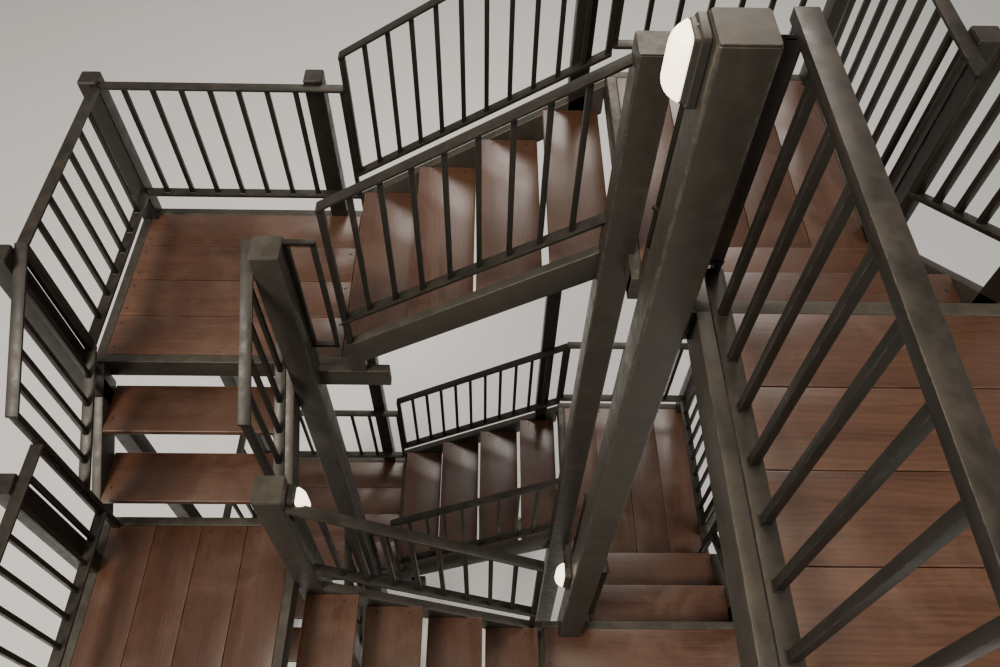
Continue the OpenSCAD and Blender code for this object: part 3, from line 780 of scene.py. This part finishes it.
# ---------------------------------------------------------------- lamps
LAMPS = [(COL_X[1] - COL / 2, -.400, TOP_Z + .800, -1), (-COL_X[1] + COL / 2, -.415, 21 * RISER + .750, 1),
         (COL_X[1] - COL / 2, -.400, 16 * RISER + .800, -1), (-COL_X[1] + COL / 2, -.415, 5 * RISER + .750, 1)]


def rounded_ring(hw, hh, r, n=5):
    ring = []
    for cx, cy, a0 in ((1, 1, 0), (-1, 1, 90), (-1, -1, 180), (1, -1, 270)):
        for i in range(n):
            a = math.radians(a0 + 90 * i / (n - 1))
            ring.append((cx * (hw - r) + r * math.cos(a), cy * (hh - r) + r * math.sin(a)))
    return ring


def lofted(b, o, sgn, sections):
    """Closed loft of rounded rectangles along x from a column face; sections are (depth, half width, half height, radius)."""
    bm = bmesh.new()
    rings = []
    for d, hw, hh, r in sections:
        rings.append([bm.verts.new((o[0] + sgn * d, o[1] + p[0], o[2] + p[1])) for p in rounded_ring(hw, hh, r)])
    n = len(rings[0])
    bm.faces.new(rings[0][::-1])
    bm.faces.new(rings[-1])
    for j in range(len(rings) - 1):
        for i in range(n):
            bm.faces.new((rings[j][i], rings[j][(i + 1) % n], rings[j + 1][(i + 1) % n], rings[j + 1][i]))
    bmesh.ops.recalc_face_normals(bm, faces=bm.faces)
    b._take(bm, set(), 2)
    b.smooth[-len(bm.faces):] = [True] * len(bm.faces)
    bm.free()


body, cover, guard = Build(), Build(), Build()
for x, y, z, sgn in LAMPS:
    o = (x, y, z)
    lofted(body, o, sgn, [(0, .046, .086, .012), (.003, .048, .088, .014), (.019, .048, .088, .014), (.022, .045, .085, .013),
                          (.022, .041, .081, .012), (.032, .040, .080, .012), (.034, .038, .078, .012)])
    lofted(cover, o, sgn, [(.0335, .036, .076, .012), (.038, .0385, .0785, .013), (.048, .036, .075, .016), (.058, .032, .070, .020),
                           (.066, .026, .063, .020), (.071, .018, .054, .016), (.074, .008, .042, .007)])
    # cover screws and a gland under the body
    for sz in (-1, 1):
        guard.hexagon((x + sgn * .022, y, z + sz * .0835), sgn * 1, .0035, .003, .0006, False)
    ring = [(x + sgn * .011 + .009 * math.cos(2 * math.pi * i / 12), y + .009 * math.sin(2 * math.pi * i / 12)) for i in range(12)]
    guard.ring_prism(ring, z - .101, z - .085, .001)
body.finish("lamp_housings", "lamp_metal", LAMP_METAL, "lamp_bodies")
cover.finish("lamp_glasses", "lamp_glass", OPAL, "lamp_covers")
guard.finish("lamp_fixings", "lamp_metal", FIXING)

# carried-over CAD nodes
for name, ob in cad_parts.items():
    if not ob.hide_render:
        for sl in ob.material_slots:
            sl.material = PLATE_STEEL
        if not ob.material_slots:
            ob.data.materials.append(PLATE_STEEL)

# ---------------------------------------------------------------- stage
def plane(name, size, z):
    me = bpy.data.meshes.new(name)
    me.from_pydata([(-size, -size, z), (size, -size, z), (size, size, z), (-size, size, z)], [], [(0, 1, 2, 3)])
    ob = bpy.data.objects.new(name, me)
    bpy.context.scene.collection.objects.link(ob)
    return ob


floor = plane("floor", 400, -.0005)
fm = Nodes("floor_pale")
fm.link(fm.mix(fm.noise(fm.coord(), .8, 2), c4(.74, .73, .71), c4(.78, .77, .75)), fm.bsdf.inputs["Base Color"])
fm.bsdf.inputs["Roughness"].default_value = .75
floor.data.materials.append(fm.mat)
floor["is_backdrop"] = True

world = bpy.data.worlds.new("studio")
bpy.context.scene.world = world
world.use_nodes = True
bg = world.node_tree.nodes["Background"]
bg.inputs[0].default_value = (1.0, .975, .94, 1.0)
bg.inputs[1].default_value = .34


def area(name, loc, aim, size, power, col):
    la = bpy.data.lights.new(name, 'AREA')
    la.shape = 'DISK'
    la.size = size
    la.energy = power
    la.color = col
    ob = bpy.data.objects.new(name, la)
    bpy.context.scene.collection.objects.link(ob)
    ob.location = loc
    ob.rotation_euler = (Vector(aim) - Vector(loc)).to_track_quat('-Z', 'Y').to_euler()
    return ob


area("key", (-6.0, -5.5, 13.0), (0, 0, 3.5), 4.0, 1750, (1.0, .93, .82))
area("fill", (8.5, -2.5, 8.0), (0, 0, 4.0), 5.0, 430, (1.0, .95, .88))
area("well", (.1, -.2, 9.6), (0, 0, 2.0), 1.6, 85, (1.0, .84, .66))
area("rim", (1.5, 9.5, 11.0), (0, 0, 4.0), 5.0, 620, (1.0, .94, .86))

# ---------------------------------------------------------------- camera
th, ps, rh = math.radians(54.241), math.radians(-1.367), math.radians(-1.671)
ct, st = math.cos(th), math.sin(th)
R0 = Matrix(((1, 0, 0), (0, -st, -ct), (0, ct, -st)))
Rz = Matrix(((math.cos(ps), -math.sin(ps), 0), (math.sin(ps), math.cos(ps), 0), (0, 0, 1)))
Rr = Matrix(((math.cos(rh), math.sin(rh), 0), (-math.sin(rh), math.cos(rh), 0), (0, 0, 1)))
R = Rr @ R0 @ Rz.transposed()
right, down, fwd = R[0], R[1], R[2]
cam = bpy.data.cameras.new("camera")
cam.sensor_fit = 'HORIZONTAL'
cam.sensor_width = 36.0
cam.lens = 29.16
cam.clip_start = .02
cam.clip_end = 200
co = bpy.data.objects.new("camera", cam)
bpy.context.scene.collection.objects.link(co)
M = Matrix(((right[0], -down[0], -fwd[0]), (right[1], -down[1], -fwd[1]), (right[2], -down[2], -fwd[2]))).to_4x4()
M.translation = Vector((.1936, -1.7265, 7.8828))
co.matrix_world = M
bpy.context.scene.camera = co


def flat(v):
    return [flat(x) for x in v] if hasattr(v, "__len__") else float(v)


{"cad": flat(CAD_BOX), "visual": flat(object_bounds())}
